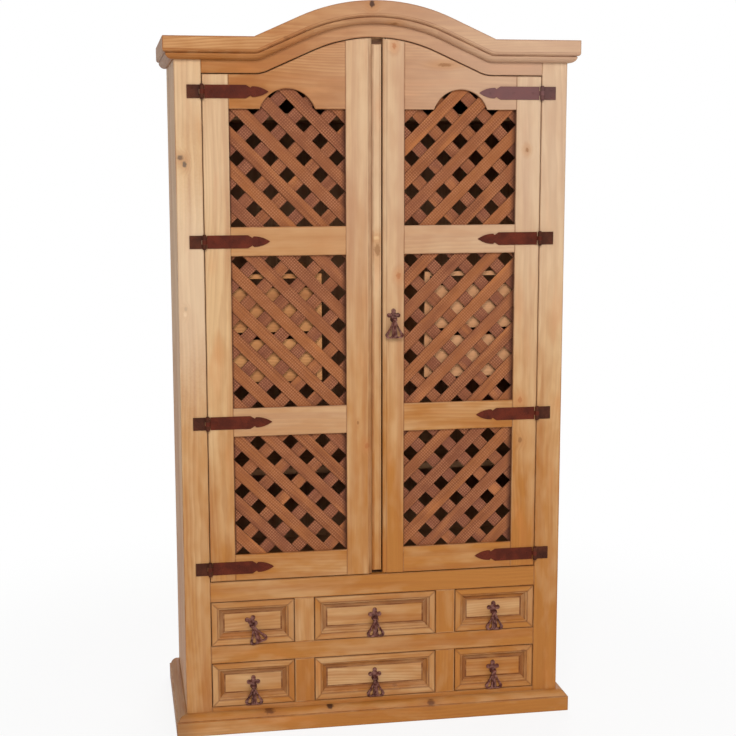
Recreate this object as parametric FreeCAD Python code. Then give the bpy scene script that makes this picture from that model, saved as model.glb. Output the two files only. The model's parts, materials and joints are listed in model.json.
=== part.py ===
import FreeCAD, Part
import os
from math import acos, ceil, cos, degrees, pi, radians, sin, tan

from FreeCAD import Placement, Rotation, Vector

# Pine bar cabinet: a face-framed case with an arched crown, a pair of lattice doors on strap hinges,
# and two rows of drawers. Sizes are millimetres. The model is laid out with X to the right, Z up and
# Y = 0 on the front of the face frame, running back into the case.

# Case
case_width = 1100.0
case_depth = 470.0
flat_top_z = 1960.0
side_thick = 20.0
frame_thick = 22.0
stile_width = 73.0
top_thick = 18.0
floor_thick = 18.0
bottom_lift = 20.0
back_thick = 12.0
back_board_count = 7
back_groove = 2.5
overhang = 30.0
block_half_length = 80.0
block_size = 40.0

# Crown moulding and the arch that it follows
arch_half_chord = 335.0
arch_radius = 520.0
flank_angle = 24.0
crown_face = 43.0
crown_round = 7.0
crown_quirk = 2.5
crown_quirk_height = 2.0
crown_height = 61.0
crown_lip = 3.0
rail_drop = 96.0

# Plinth
plinth_edge = 44.0
plinth_step = 4.0
plinth_height = 60.0
plinth_lip = 3.0

# Drawer openings in the face frame
bottom_rail_top = 72.0
drawer_opening_height = 131.0
middle_rail_height = 51.0
sill_rail_height = 58.0
middle_drawer_width = 359.0
mullion_width = 57.0

# Drawers
drawer_gap = 2.0
drawer_panel_set = 12.0
drawer_board_thick = 12.0
drawer_moulding_width = 34.0
drawer_moulding_band = 17.0
drawer_moulding_step = 2.5
drawer_moulding_toe = 1.5
drawer_bead_width = 6.0
drawer_bead_drop = 3.0
drawer_fillet_drop = 1.5
drawer_hollow_run = 3.5
drawer_hollow_rise = 2.4
drawer_side_thick = 12.0
drawer_side_gap = 3.0
drawer_ride_gap = 0.4
drawer_head_room = 22.0
drawer_bottom_thick = 6.0
drawer_bottom_lift = 8.0
drawer_back_gap = 36.0
runner_thick = 20.0
runner_bearing = 18.0
guide_height = 24.0

# Doors
door_thick = 20.0
door_side_gap = 2.0
door_top_gap = 2.5
door_bottom_gap = 3.0
hinge_stile_width = 71.0
inner_edge = 82.25
left_meeting_stile_width = 72.75
strip_width = 28.0
strip_set = 4.0
strip_top_gap = 16.0
strip_bottom_gap = 9.0
strip_round = 5.0
meeting_gap = 4.0
meeting_round_width = 12.0
meeting_round_depth = 6.0
bottom_rail_height = 75.0
cross_rail_height = 80.0
lower_opening_height = 342.0
middle_opening_height = 426.0
top_rail_height = 92.5
lobe_radius = 80.0
lobe_rise = 55.0

# Lattice
lath_width = 33.5
lath_thick = 5.0
lath_pitch = 65.3
lattice_back_gap = 1.0
lattice_rebate = 12.0
lattice_edge_gap = 0.4
upper_lath_shift = (18.5, 20.0)
middle_lath_shift = (11.2, 7.8)
lower_lath_shift = (8.8, 6.8)

# Small rounds, drawn with flats that stay this close to a true round
round_sag = 0.25
pin_clearance = 0.05

# Strap hinges
hinge_height = 36.0
hinge_plate_thick = 3.0
hinge_pin_radius = 3.0
hinge_pin_head_radius = 4.5
hinge_pin_head_height = 2.5
knuckle_radius = 6.5
knuckle_clearance = 0.3
knuckle_root = 1.0
frame_leaf_length = 33.0
strap_length = 181.0
strap_shoulder = 61.0
strap_notch = 49.0
strap_barb = 45.0
strap_notch_half = 10.5
strap_barb_half = 14.5
strap_round = 20.0
strap_round_half = 10.5

# Drop pulls
pull_standoff = 15.5
plate_thick = 3.0
plate_lobe_radius = 6.5
plate_lobe_spread = 13.0
plate_side_lobe_rise = 11.0
plate_top_lobe_rise = 23.5
plate_heart_radius = 10.0
pull_pin_radius = 1.8
ear_radius = 3.5
ear_thick = 3.0
barrel_radius = 4.0
barrel_half_length = 4.2
barrel_side_gap = 0.3
bail_length = 53.0
bail_half_width = 26.0
bail_thick = 5.0
bail_neck_half = 5.0
bail_corner_radius = 9.0
bail_waist_half = 13.0
bail_side_lean = 20.0
bail_rib_radius = 3.0
bail_rib_start = 9.0
bail_rib_end = 47.0
tongue_half = 8.0
teardrop_radius = 5.0
teardrop_top = 16.0
door_pull_height = 1186.0
drawer_pull_drop = 10.0
loose_pull_tilt = 21.0
loose_plate_turn = 45.0

# Fittings inside the cupboard
upper_shelf_z = 1740.0
upper_shelf_set = 45.0
lower_shelf_z = 716.0
lower_shelf_set = 150.0
shelf_thick = 18.0
cleat_size = 20.0
rack_reach = 148.0
rack_bottom_z = 1012.0
rack_set = 28.0
rack_tier_height = 141.0
rack_board_thick = 12.0
rack_divider_thick = 16.0
rack_lower_board_height = 120.0
rack_upper_board_height = 125.0
rack_height = 304.0
rack_rail_height = 13.0

# Places that follow from the sizes above
half_case = case_width / 2
half_inside = half_case - side_thick
half_opening = half_case - stile_width
inner_back = case_depth - back_thick
half_arch_turn = radians(flank_angle)
lower_row_z = bottom_rail_top
upper_row_z = lower_row_z + drawer_opening_height + middle_rail_height
sill_top_z = upper_row_z + drawer_opening_height + sill_rail_height
cupboard_floor_z = sill_top_z - floor_thick
case_top_z = flat_top_z - top_thick
mullion_in = middle_drawer_width / 2
mullion_out = mullion_in + mullion_width
door_bottom_z = sill_top_z + door_bottom_gap
lower_opening_z = door_bottom_z + bottom_rail_height
lower_cross_z = lower_opening_z + lower_opening_height
middle_opening_z = lower_cross_z + cross_rail_height
upper_cross_z = middle_opening_z + middle_opening_height
upper_opening_z = upper_cross_z + cross_rail_height
door_top_side_z = flat_top_z - rail_drop - door_top_gap
top_rail_z = door_top_side_z - top_rail_height
door_edge = half_opening - door_side_gap
lattice_edge = door_edge - hinge_stile_width
strip_left = left_meeting_stile_width - inner_edge
strip_right = strip_left + strip_width
right_stile_edge = strip_right + meeting_gap
lattice_y = door_thick - lattice_back_gap - 2 * lath_thick
hinge_x = half_opening - door_side_gap / 2
hinge_y = -(knuckle_radius + knuckle_clearance)
hinge_levels = (
    door_bottom_z + bottom_rail_height / 2,
    lower_cross_z + cross_rail_height / 2,
    upper_cross_z + cross_rail_height / 2,
    (top_rail_z + door_top_side_z) / 2,
)
right_meeting_centre = (right_stile_edge + inner_edge) / 2
origin_y = -(case_depth - overhang) / 2
beyond = 4 * (case_width + flat_top_z)

drawer_columns = {
    "left": (-half_opening, -mullion_out),
    "middle": (-mullion_in, mullion_in),
    "right": (mullion_out, half_opening),
}
drawer_rows = {"lower": lower_row_z, "upper": upper_row_z}


def box(x0, x1, y0, y1, z0, z1):
    return Part.makeBox(x1 - x0, y1 - y0, z1 - z0, Vector(x0, y0, z0))


def mirrored(shape):
    return shape.mirror(Vector(0, 0, 0), Vector(1, 0, 0))


def both_sides(shape):
    return [shape, mirrored(shape)]


def ring_of(points):
    return [Part.makeLine(a, b) for a, b in zip(points, points[1:])]


def arc(start, through, end):
    return Part.Arc(start, through, end).toShape()


def solid_along(edges, direction):
    return Part.Face(Part.Wire(edges)).extrude(direction)


def flat_count(radius, turn):
    return ceil(turn / (2 * acos(1 - round_sag / radius)))


def flattened(edge):
    flats = flat_count(edge.Curve.Radius, edge.Length / edge.Curve.Radius)
    return ring_of(edge.discretize(flats + 1))


def rod(radius, start, along, twist=0.0):
    turn = Rotation(Vector(0, 0, 1), along)
    flats = flat_count(radius, 2 * pi)
    corners = []
    for i in range(flats):
        angle = 2 * pi * (i + twist) / flats
        corners.append(start + turn.multVec(Vector(radius * cos(angle), radius * sin(angle), 0)))
    return solid_along(ring_of(corners + corners[:1]), along)


# Hole whose flats clear the corners of a pin of this radius
def bore(pin_radius, start, along):
    flats = flat_count(pin_radius, 2 * pi)
    return rod((pin_radius + pin_clearance) / cos(pi / flats), start, along, 1 / 2)


def half_space(point, towards):
    block = Part.makeBox(beyond, beyond, beyond, Vector(-beyond / 2, -beyond / 2, 0))
    block.Placement = Placement(point, Rotation(Vector(0, 0, 1), towards))
    return block


def write(node, solids):
    shape = Part.makeCompound(solids) if len(solids) > 1 else solids[0]
    shape = shape.copy()
    shape.translate(Vector(0, origin_y, 0))
    shape.exportStep("parts/" + node + ".step")


# Arch outline: a level stretch, a straight flank and a round middle. Every edge of the crown, the rail
# below it and the door tops runs at an even offset below it, so it rounds off under the kink.
def arch_marks(offset):
    flank_inward = Vector(sin(half_arch_turn), 0, -cos(half_arch_turn))
    bend_inward = Vector(sin(half_arch_turn / 2), 0, -cos(half_arch_turn / 2))
    kink = Vector(-arch_half_chord, 0, flat_top_z)
    touch_x = arch_radius * sin(half_arch_turn)
    touch = Vector(-touch_x, 0, flat_top_z + (arch_half_chord - touch_x) * tan(half_arch_turn))
    peak = Vector(0, 0, touch.z + arch_radius * (1 - cos(half_arch_turn)) - offset)
    bend = (kink - Vector(0, 0, offset), kink + bend_inward * offset, kink + flank_inward * offset)
    return bend, touch + flank_inward * offset, peak


def arch_edges(offset, reach):
    bend, touch, peak = arch_marks(offset)
    left = [Part.makeLine(Vector(-reach, 0, bend[0].z), bend[0])]
    if offset:
        left.append(arc(*bend))
    left.append(Part.makeLine(bend[-1], touch))
    right = [mirrored(edge) for edge in reversed(left)]
    return left + [arc(touch, peak, Vector(-touch.x, 0, touch.z))] + right


def arched_board(upper_offset, lower_offset, reach, thick):
    top_z = flat_top_z - upper_offset
    low_z = flat_top_z - lower_offset
    ends = ring_of([Vector(reach, 0, top_z), Vector(reach, 0, low_z)])
    ends += ring_of([Vector(-reach, 0, low_z), Vector(-reach, 0, top_z)])
    edges = arch_edges(upper_offset, reach) + arch_edges(lower_offset, reach) + ends
    return solid_along(Part.__sortEdges__(edges), Vector(0, thick, 0))


def door_outline():
    offset = rail_drop + door_top_gap
    low = door_bottom_z
    high = door_top_side_z
    sides = ring_of([
        Vector(door_edge, 0, high),
        Vector(door_edge, 0, low),
        Vector(-door_edge, 0, low),
        Vector(-door_edge, 0, high),
    ])
    edges = Part.__sortEdges__(arch_edges(offset, door_edge) + sides)
    return solid_along(edges, Vector(0, door_thick, 0))


# Quarter round from start to end that bulges away from the point level with both
def quarter_round(start, end, inner):
    bulge = inner + (start - inner + end - inner) * cos(radians(45))
    return flattened(arc(start, bulge, end))


# Crown section at a point of the arch outline: a plain face, its rounded lower edge, a quirk and an ovolo
def crown_section(at, inward):
    def spot(out, drop):
        return at + Vector(0, -out, 0) + inward * drop

    round_out = overhang - crown_round
    quirk_out = round_out - crown_quirk
    round_drop = crown_face - crown_round
    bead_drop = crown_face + crown_quirk_height
    face_end = spot(overhang, round_drop)
    face_foot = spot(round_out, crown_face)
    bead_start = spot(round_out, bead_drop)
    bead_end = spot(crown_lip, crown_height)
    edges = ring_of([spot(0, crown_height), spot(0, 0), spot(overhang, 0), face_end])
    edges += quarter_round(face_end, face_foot, spot(round_out, round_drop))
    edges += ring_of([face_foot, spot(quirk_out, crown_face), spot(quirk_out, bead_drop), bead_start])
    edges += quarter_round(bead_start, bead_end, spot(crown_lip, bead_drop))
    edges.append(Part.makeLine(bead_end, spot(0, crown_height)))
    return edges


def corner_mitre(keep_front):
    towards = Vector(-1, 1, 0) if keep_front else Vector(1, -1, 0)
    return half_space(Vector(-half_case, 0, 0), towards)


# The crown's front is one board, with its moulding run along the arch outline
def crown_front():
    bend, touch, peak = arch_marks(0)
    kink = bend[0]
    down = Vector(0, 0, -1)
    inward = Vector(sin(half_arch_turn), 0, -cos(half_arch_turn))
    across = Vector(0, 1, 0)
    start = Vector(-half_case - overhang, 0, flat_top_z)
    level = solid_along(crown_section(start, down), kink - start).cut(corner_mitre(True))
    turn = Part.Face(Part.Wire(crown_section(kink, down))).revolve(kink, across * -1, flank_angle)
    flank = solid_along(crown_section(kink, inward), touch - kink)
    middle = Part.Face(Part.Wire(crown_section(touch, inward)))
    centre = Vector(0, 0, peak.z - arch_radius)
    middle = middle.revolve(centre, across, 2 * flank_angle)
    return middle.fuse(both_sides(flank) + both_sides(turn) + both_sides(level)).removeSplitter().Solids


def crown_return():
    start = Vector(0, 0, flat_top_z)
    run = solid_along(crown_section(start, Vector(0, 0, -1)), Vector(case_depth + overhang, 0, 0))
    run.rotate(Vector(0, 0, 0), Vector(0, 0, 1), -90)
    run.translate(Vector(-half_case, case_depth, 0))
    return run.cut(corner_mitre(False))


def plinth_section(x):
    def spot(out, z):
        return Vector(x, -out, z)

    start = spot(overhang - plinth_step, plinth_edge)
    end = spot(plinth_lip, plinth_height)
    face_end = spot(overhang, plinth_edge)
    edges = ring_of([end, spot(0, plinth_height), spot(0, 0), spot(overhang, 0), face_end, start])
    return edges + quarter_round(start, end, spot(plinth_lip, plinth_edge))


def plinth_pieces():
    reach = half_case + overhang
    front = solid_along(plinth_section(-reach), Vector(2 * reach, 0, 0))
    mitre = corner_mitre(True)
    front = front.cut(mitre).cut(mirrored(mitre))
    side = solid_along(plinth_section(0), Vector(case_depth + overhang, 0, 0))
    side.rotate(Vector(0, 0, 0), Vector(0, 0, 1), -90)
    side.translate(Vector(-half_case, case_depth, 0))
    return [front] + both_sides(side.cut(corner_mitre(False)))


def back_boards():
    width = 2 * half_inside / back_board_count
    boards = []
    for index in range(back_board_count):
        left = -half_inside + index * width
        right = left + width
        low = bottom_lift
        section = ring_of([
            Vector(left, inner_back, low),
            Vector(right, inner_back, low),
            Vector(right, case_depth - back_groove, low),
            Vector(right - back_groove, case_depth, low),
            Vector(left + back_groove, case_depth, low),
            Vector(left, case_depth - back_groove, low),
            Vector(left, inner_back, low),
        ])
        boards.append(solid_along(section, Vector(0, 0, flat_top_z - low)))
    return boards


def case_board(z, thick, set_back):
    return box(-half_inside, half_inside, set_back, inner_back, z, z + thick)


def write_case():
    side = box(-half_case, -half_inside, frame_thick, case_depth, 0, flat_top_z)
    write("left_side_panel", [side])
    write("right_side_panel", [mirrored(side)])
    write("back_boards", back_boards())
    write("face_stiles", both_sides(box(-half_case, -half_opening, 0, frame_thick, 0, flat_top_z)))
    write("arched_top_rail", [arched_board(0, rail_drop, half_opening, frame_thick)])
    write("case_top", [case_board(case_top_z, top_thick, frame_thick)])
    block_back = frame_thick + block_size
    block = (-block_half_length, block_half_length, frame_thick, block_back)
    write("crown_block", [box(*block, flat_top_z, flat_top_z + block_size)])
    write("case_bottom", [case_board(bottom_lift, floor_thick, frame_thick)])
    write("cupboard_floor", [case_board(cupboard_floor_z, floor_thick, frame_thick)])
    write("crown_front", crown_front())
    write("crown_returns", both_sides(crown_return()))
    write("plinth", plinth_pieces())

    middle_rail_z = lower_row_z + drawer_opening_height
    sill_z = upper_row_z + drawer_opening_height
    rails = []
    for low, high in ((0, bottom_rail_top), (middle_rail_z, upper_row_z), (sill_z, sill_top_z)):
        rails.append(box(-half_opening, half_opening, 0, frame_thick, low, high))
    write("drawer_rails", rails)
    mullions = []
    for row_z in drawer_rows.values():
        upright = box(-mullion_out, -mullion_in, 0, frame_thick, row_z, row_z + drawer_opening_height)
        mullions += both_sides(upright)
    write("drawer_mullions", mullions)

    runners = []
    for row_z in drawer_rows.values():
        for left, right in ((-half_inside, -half_opening), (-mullion_out, -mullion_in)):
            wall = left == -half_inside
            low_left = left if wall else left - runner_bearing
            low_right = right + runner_bearing
            runner = box(low_left, low_right, frame_thick, inner_back, row_z - runner_thick, row_z)
            guide = box(left, right, frame_thick, inner_back, row_z, row_z + guide_height)
            runners += both_sides(runner) + both_sides(guide)
    write("drawer_runners", runners)


def write_fittings():
    shelves = []
    cleats = []
    for z, set_back in ((upper_shelf_z, upper_shelf_set), (lower_shelf_z, lower_shelf_set)):
        shelves.append(case_board(z, shelf_thick, set_back))
        cleat = box(-half_inside, -half_inside + cleat_size, set_back, inner_back, z - cleat_size, z)
        cleats += both_sides(cleat)
    write("shelves", shelves)
    write("shelf_cleats", cleats)

    front = rack_set + rack_board_thick
    inner = -rack_reach - rack_divider_thick
    divider = box(inner, -rack_reach, rack_set, inner_back, rack_bottom_z, rack_bottom_z + rack_height)
    rack = [divider]
    tier_z = rack_bottom_z
    for board_height in (rack_lower_board_height, rack_upper_board_height):
        rack.append(box(-half_inside, inner, rack_set, front, tier_z, tier_z + board_height))
        rack.append(box(-half_inside, inner, front, inner_back, tier_z, tier_z + rack_board_thick))
        tier_z += rack_tier_height
    rail_z = rack_bottom_z + rack_height - rack_rail_height
    rack.append(box(-half_inside, inner, rack_set, front, rail_z, rail_z + rack_rail_height))
    write("left_bottle_rack", rack)
    write("right_bottle_rack", [mirrored(piece) for piece in rack])


# Lath layers of one opening. The front layer falls to the right and the rear layer rises to the right,
# each cut off at the edge of its rebate.
def lattice_laths(left, right, low, high, window_centre_z, shifts):
    room = box(left, right, 0, door_thick, low, high)
    centre = Vector((left + right) / 2, 0, window_centre_z)
    reach = (right - left) + (high - low)
    count = int(reach / lath_pitch)
    laths = []
    for layer, (turn, shift) in enumerate(zip((45, -45), shifts)):
        y = lattice_y + layer * lath_thick
        for index in range(-count, count + 1):
            across = shift + index * lath_pitch
            lath = box(-reach, reach, y, y + lath_thick, across - lath_width / 2, across + lath_width / 2)
            lath.rotate(Vector(0, 0, 0), Vector(0, 1, 0), turn)
            lath.translate(centre)
            laths += lath.common(room).Solids
    return laths


def rounded_stile(left, right):
    curve_radius = (meeting_round_width ** 2 + meeting_round_depth ** 2) / (2 * meeting_round_depth)
    turn = acos(1 - meeting_round_depth / curve_radius) / 2
    bend = Vector(
        right - meeting_round_width + curve_radius * sin(turn),
        curve_radius * (1 - cos(turn)),
        door_bottom_z,
    )
    flat_end = Vector(right - meeting_round_width, 0, door_bottom_z)
    edge_start = Vector(right, meeting_round_depth, door_bottom_z)
    rest = ring_of([
        edge_start,
        Vector(right, door_thick, door_bottom_z),
        Vector(left, door_thick, door_bottom_z),
        Vector(left, 0, door_bottom_z),
        flat_end,
    ])
    return solid_along([arc(flat_end, bend, edge_start)] + rest, Vector(0, 0, flat_top_z))


# One door in the left door's place, whose meeting stile ends at meeting_edge. The right door is its
# mirror image with a narrower meeting stile.
def door_pieces(meeting_edge):
    outline = door_outline()
    left = -lattice_edge
    right = -inner_edge
    peak = flat_top_z + arch_half_chord
    openings = (
        (lower_opening_z, lower_cross_z, lower_cross_z, lower_lath_shift),
        (middle_opening_z, upper_cross_z, upper_cross_z, middle_lath_shift),
        (upper_opening_z, top_rail_z, top_rail_z + lobe_rise, upper_lath_shift),
    )
    rebates = []
    laths = []
    for low, flat_high, high, shifts in openings:
        edge = lattice_rebate
        rebates.append(box(left - edge, right + edge, lattice_y, door_thick, low - edge, high + edge))
        edge = lattice_rebate - lattice_edge_gap
        middle_z = (low + flat_high) / 2
        laths += lattice_laths(left - edge, right + edge, low - edge, high + edge, middle_z, shifts)

    def framed(blank):
        return blank.common(outline).cut(rebates).Solids

    lobe_centre = Vector((left + right) / 2, 0, top_rail_z + lobe_rise - lobe_radius)
    lobe = Part.makeCylinder(lobe_radius, door_thick, lobe_centre, Vector(0, 1, 0))
    cross_rails = []
    for low, high in (
        (door_bottom_z, lower_opening_z),
        (lower_cross_z, middle_opening_z),
        (upper_cross_z, upper_opening_z),
    ):
        cross_rails += framed(box(left, right, 0, door_thick, low, high))
    top_rail = box(left, right, 0, door_thick, top_rail_z, peak).cut(lobe)
    return {
        "hinge_stile": framed(box(-door_edge, left, 0, door_thick, door_bottom_z, peak)),
        "meeting_stile": framed(rounded_stile(right, meeting_edge)),
        "top_rail": framed(top_rail),
        "cross_rails": cross_rails,
        "lattice": laths,
    }


# Strap hinge parts at the left door's hinge line, centred on z = 0
def with_knuckle(plate, reach_x, low, high):
    start = Vector(-hinge_x, hinge_y, low)
    along = Vector(0, 0, high - low)
    barrel = rod(knuckle_radius, start, along)
    tab_back = hinge_y + knuckle_radius
    near = min(reach_x, -hinge_x)
    far = max(reach_x, -hinge_x)
    tab = box(near, far, -hinge_plate_thick, tab_back, low, high)
    return plate.fuse([barrel, tab]).cut(bore(hinge_pin_radius, start, along))


def frame_leaf():
    half = hinge_height / 2
    third = hinge_height / 6
    root = -hinge_x - knuckle_radius - knuckle_root
    leaf = box(root - frame_leaf_length, root, -hinge_plate_thick, 0, -half, half)
    for low, high in ((-half, -third), (third, half)):
        leaf = with_knuckle(leaf, root, low, high)
    return leaf.removeSplitter().Solids[0]


def strap_leaf():
    half = hinge_height / 2
    third = hinge_height / 6 - knuckle_clearance
    y = -hinge_plate_thick
    root = -hinge_x + knuckle_radius + knuckle_root
    tip = -hinge_x + strap_length

    def spot(from_tip, up):
        return Vector(tip - from_tip, y, up)

    barb = spot(strap_barb, strap_barb_half)
    collar = [spot(strap_shoulder, half), spot(strap_notch, strap_notch_half), barb]
    upper = ring_of([Vector(root, y, half)] + collar)
    upper.append(arc(barb, spot(strap_round, strap_round_half), spot(0, 0)))
    lower = [edge.mirror(Vector(0, 0, 0), Vector(0, 0, 1)) for edge in upper]
    butt = Part.makeLine(Vector(root, y, half), Vector(root, y, -half))
    outline = Part.__sortEdges__(upper + lower + [butt])
    plate = solid_along(outline, Vector(0, hinge_plate_thick, 0))
    return with_knuckle(plate, root, -third, third).removeSplitter().Solids[0]


def hinge_pin():
    half = hinge_height / 2
    axis = Vector(-hinge_x, hinge_y, 0)
    pin = rod(hinge_pin_radius, axis - Vector(0, 0, half), Vector(0, 0, hinge_height))
    rise = Vector(0, 0, hinge_pin_head_height)
    head = rod(hinge_pin_head_radius, axis + Vector(0, 0, half), rise)
    foot = rod(hinge_pin_head_radius, axis - Vector(0, 0, half) - rise, rise)
    return pin.fuse([head, foot]).removeSplitter().Solids[0]


def at_levels(shape, side):
    pieces = []
    for z in hinge_levels:
        piece = mirrored(shape) if side == "right" else shape.copy()
        piece.translate(Vector(0, 0, z))
        pieces.append(piece)
    return pieces


# Drop pull, with the bail's axis through the origin and the face that carries it at y = pull_standoff
def pull_plate(lobe_turn):
    front = pull_standoff - plate_thick
    depth = Vector(0, plate_thick, 0)
    heart = Vector(0, front, plate_side_lobe_rise)
    discs = [rod(plate_heart_radius, Vector(0, front, 0), depth), rod(plate_heart_radius, heart, depth)]
    turn = Rotation(Vector(0, 1, 0), lobe_turn)
    top_rise = plate_top_lobe_rise - plate_side_lobe_rise
    for x, z in ((0, top_rise), (-plate_lobe_spread, 0), (plate_lobe_spread, 0)):
        discs.append(rod(plate_lobe_radius, heart + turn.multVec(Vector(x, 0, z)), depth))
    ear_in = barrel_half_length + barrel_side_gap
    ear_out = ear_in + ear_thick
    ears = []
    for left, right in ((-ear_out, -ear_in), (ear_in, ear_out)):
        eye = rod(ear_radius, Vector(left, 0, 0), Vector(ear_thick, 0, 0))
        ears += [eye, box(left, right, 0, front, -ear_radius, ear_radius)]
    pin = rod(pull_pin_radius, Vector(-ear_out, 0, 0), Vector(2 * ear_out, 0, 0))
    return discs[0].fuse(discs[1:] + ears + [pin]).removeSplitter().Solids[0]


def teardrop(top, centre, radius):
    upward = top - centre
    spread = degrees(acos(radius / upward.Length))
    upward.normalize()
    tangents = []
    for turn in (spread, -spread):
        tangents.append(centre + Rotation(Vector(0, 1, 0), turn).multVec(upward) * radius)
    edges = ring_of([tangents[1], top, tangents[0]])
    edges += flattened(arc(tangents[0], centre - upward * radius, tangents[1]))
    return solid_along(edges, Vector(0, bail_thick, 0))


def pull_bail():
    y = -bail_thick / 2
    corner_x = bail_half_width - bail_corner_radius
    corner_z = -bail_length + bail_corner_radius
    lean = radians(bail_side_lean)
    low_mid = (pi / 2 - lean) / 2
    side = Vector(
        -corner_x - bail_corner_radius * cos(lean),
        y,
        corner_z + bail_corner_radius * sin(lean),
    )
    base = Vector(-corner_x, y, -bail_length)
    round_mid = Vector(
        -corner_x - bail_corner_radius * cos(low_mid),
        y,
        corner_z - bail_corner_radius * sin(low_mid),
    )
    neck = Vector(-bail_neck_half, y, -barrel_radius)
    waist = Vector(-bail_waist_half, y, (neck.z + side.z) / 2)
    left_edges = flattened(arc(neck, waist, side)) + flattened(arc(side, round_mid, base))
    right_edges = [mirrored(edge) for edge in left_edges]
    close = [
        Part.makeLine(base, Vector(corner_x, y, -bail_length)),
        Part.makeLine(neck, Vector(bail_neck_half, y, neck.z)),
    ]
    body = solid_along(Part.__sortEdges__(left_edges + right_edges + close), Vector(0, bail_thick, 0))
    top = Vector(-bail_neck_half, y, -teardrop_top)
    round_centre = Vector(-tongue_half - teardrop_radius, y, corner_z)
    body = body.cut(both_sides(teardrop(top, round_centre, teardrop_radius)))

    left = Vector(-barrel_half_length, 0, 0)
    span = Vector(2 * barrel_half_length, 0, 0)
    barrel = rod(barrel_radius, left, span)
    neck_block = box(-barrel_half_length, barrel_half_length, y, -y, neck.z, 0)
    rib = rod(bail_rib_radius, Vector(0, y, -bail_rib_end), Vector(0, 0, bail_rib_end - bail_rib_start))
    bail = body.fuse([barrel, neck_block, rib]).cut(bore(pull_pin_radius, left, span))
    return bail.removeSplitter().Solids[0]


def placed_pull(shape, x, face_y, z, tilt):
    piece = shape.copy()
    piece.rotate(Vector(0, 0, 0), Vector(0, 1, 0), -tilt)
    piece.translate(Vector(x, face_y - pull_standoff, z))
    return piece


def write_doors():
    for side, meeting_edge in (("left", strip_left), ("right", -right_stile_edge)):
        for name, solids in door_pieces(meeting_edge).items():
            if side == "right":
                solids = [mirrored(solid) for solid in solids]
            write(side + "_door_" + name, solids)
        write(side + "_door_hinge_straps", at_levels(strap_leaf(), side))
    top_z = arch_marks(rail_drop + door_top_gap)[2].z - strip_top_gap
    low_z = door_bottom_z + strip_bottom_gap
    strip = box(strip_left, strip_right, strip_set, door_thick, low_z, top_z)
    arrises = [edge for edge in strip.Edges if edge.Length > strip_width and edge.BoundBox.YMax < door_thick]
    write("left_door_meeting_strip", strip.makeFillet(strip_round, arrises).Solids)
    place = (right_meeting_centre, 0, door_pull_height, 0)
    write("right_door_pull_plate", [placed_pull(pull_plate(0), *place)])
    write("right_door_pull_bail", [placed_pull(pull_bail(), *place)])
    leaves = []
    pins = []
    for side in ("left", "right"):
        leaves += at_levels(frame_leaf(), side)
        pins += at_levels(hinge_pin(), side)
    write("hinge_frame_leaves", leaves)
    write("hinge_pins", pins)


# Mitred moulding round a drawer front: a flat band flush with the face frame, a step, a bead, a fillet and
# a hollow that falls to the panel
def moulding_section(x):
    def spot(inward, rise):
        return Vector(x, drawer_panel_set - rise, inward)

    full = drawer_panel_set
    stepped = full - drawer_moulding_step
    bead_foot = stepped - drawer_bead_drop
    bead_edge = drawer_moulding_band + drawer_bead_width
    bead_start = spot(drawer_moulding_band, stepped)
    bead_end = spot(bead_edge, bead_foot)
    hollow_start = spot(bead_edge, bead_foot - drawer_fillet_drop)
    hollow_mid = spot(bead_edge + drawer_hollow_run, drawer_hollow_rise)
    end = spot(drawer_moulding_width, drawer_moulding_toe)
    before = ring_of([spot(0, 0), spot(0, full), spot(drawer_moulding_band, full), bead_start])
    bead = quarter_round(bead_start, bead_end, spot(drawer_moulding_band, bead_foot))
    hollow = [Part.makeLine(bead_end, hollow_start)] + flattened(arc(hollow_start, hollow_mid, end))
    after = ring_of([end, spot(drawer_moulding_width, 0), spot(0, 0)])
    return before + bead + hollow + after


def moulding_bar(length):
    bar = solid_along(moulding_section(0), Vector(length, 0, 0))
    bar = bar.cut(half_space(Vector(0, 0, 0), Vector(-1, 0, 1)))
    return bar.cut(half_space(Vector(length, 0, 0), Vector(1, 0, 1)))


def drawer_front(x0, x1, z0, z1):
    board_back = drawer_panel_set + drawer_board_thick
    pieces = [box(x0, x1, drawer_panel_set, board_back, z0, z1)]
    corners = (Vector(x0, 0, z0), Vector(x1, 0, z0), Vector(x1, 0, z1), Vector(x0, 0, z1))
    for side, corner in enumerate(corners):
        along = corners[(side + 1) % len(corners)] - corner
        bar = moulding_bar(along.Length)
        bar.Placement = Placement(corner, Rotation(Vector(0, 1, 0), -90 * side))
        pieces.append(bar)
    return pieces


def drawer_box(x0, x1, z0, z1):
    front = drawer_panel_set + drawer_board_thick
    back = inner_back - drawer_back_gap
    thick = drawer_side_thick
    inner_x0 = x0 + thick
    inner_x1 = x1 - thick
    bottom_z = z0 + drawer_bottom_lift
    bottom_top = bottom_z + drawer_bottom_thick
    return [
        box(x0, inner_x0, front, back, z0, z1),
        box(inner_x1, x1, front, back, z0, z1),
        box(inner_x0, inner_x1, back - thick, back, bottom_top, z1),
        box(inner_x0, inner_x1, front, back, bottom_z, bottom_top),
    ]


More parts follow.
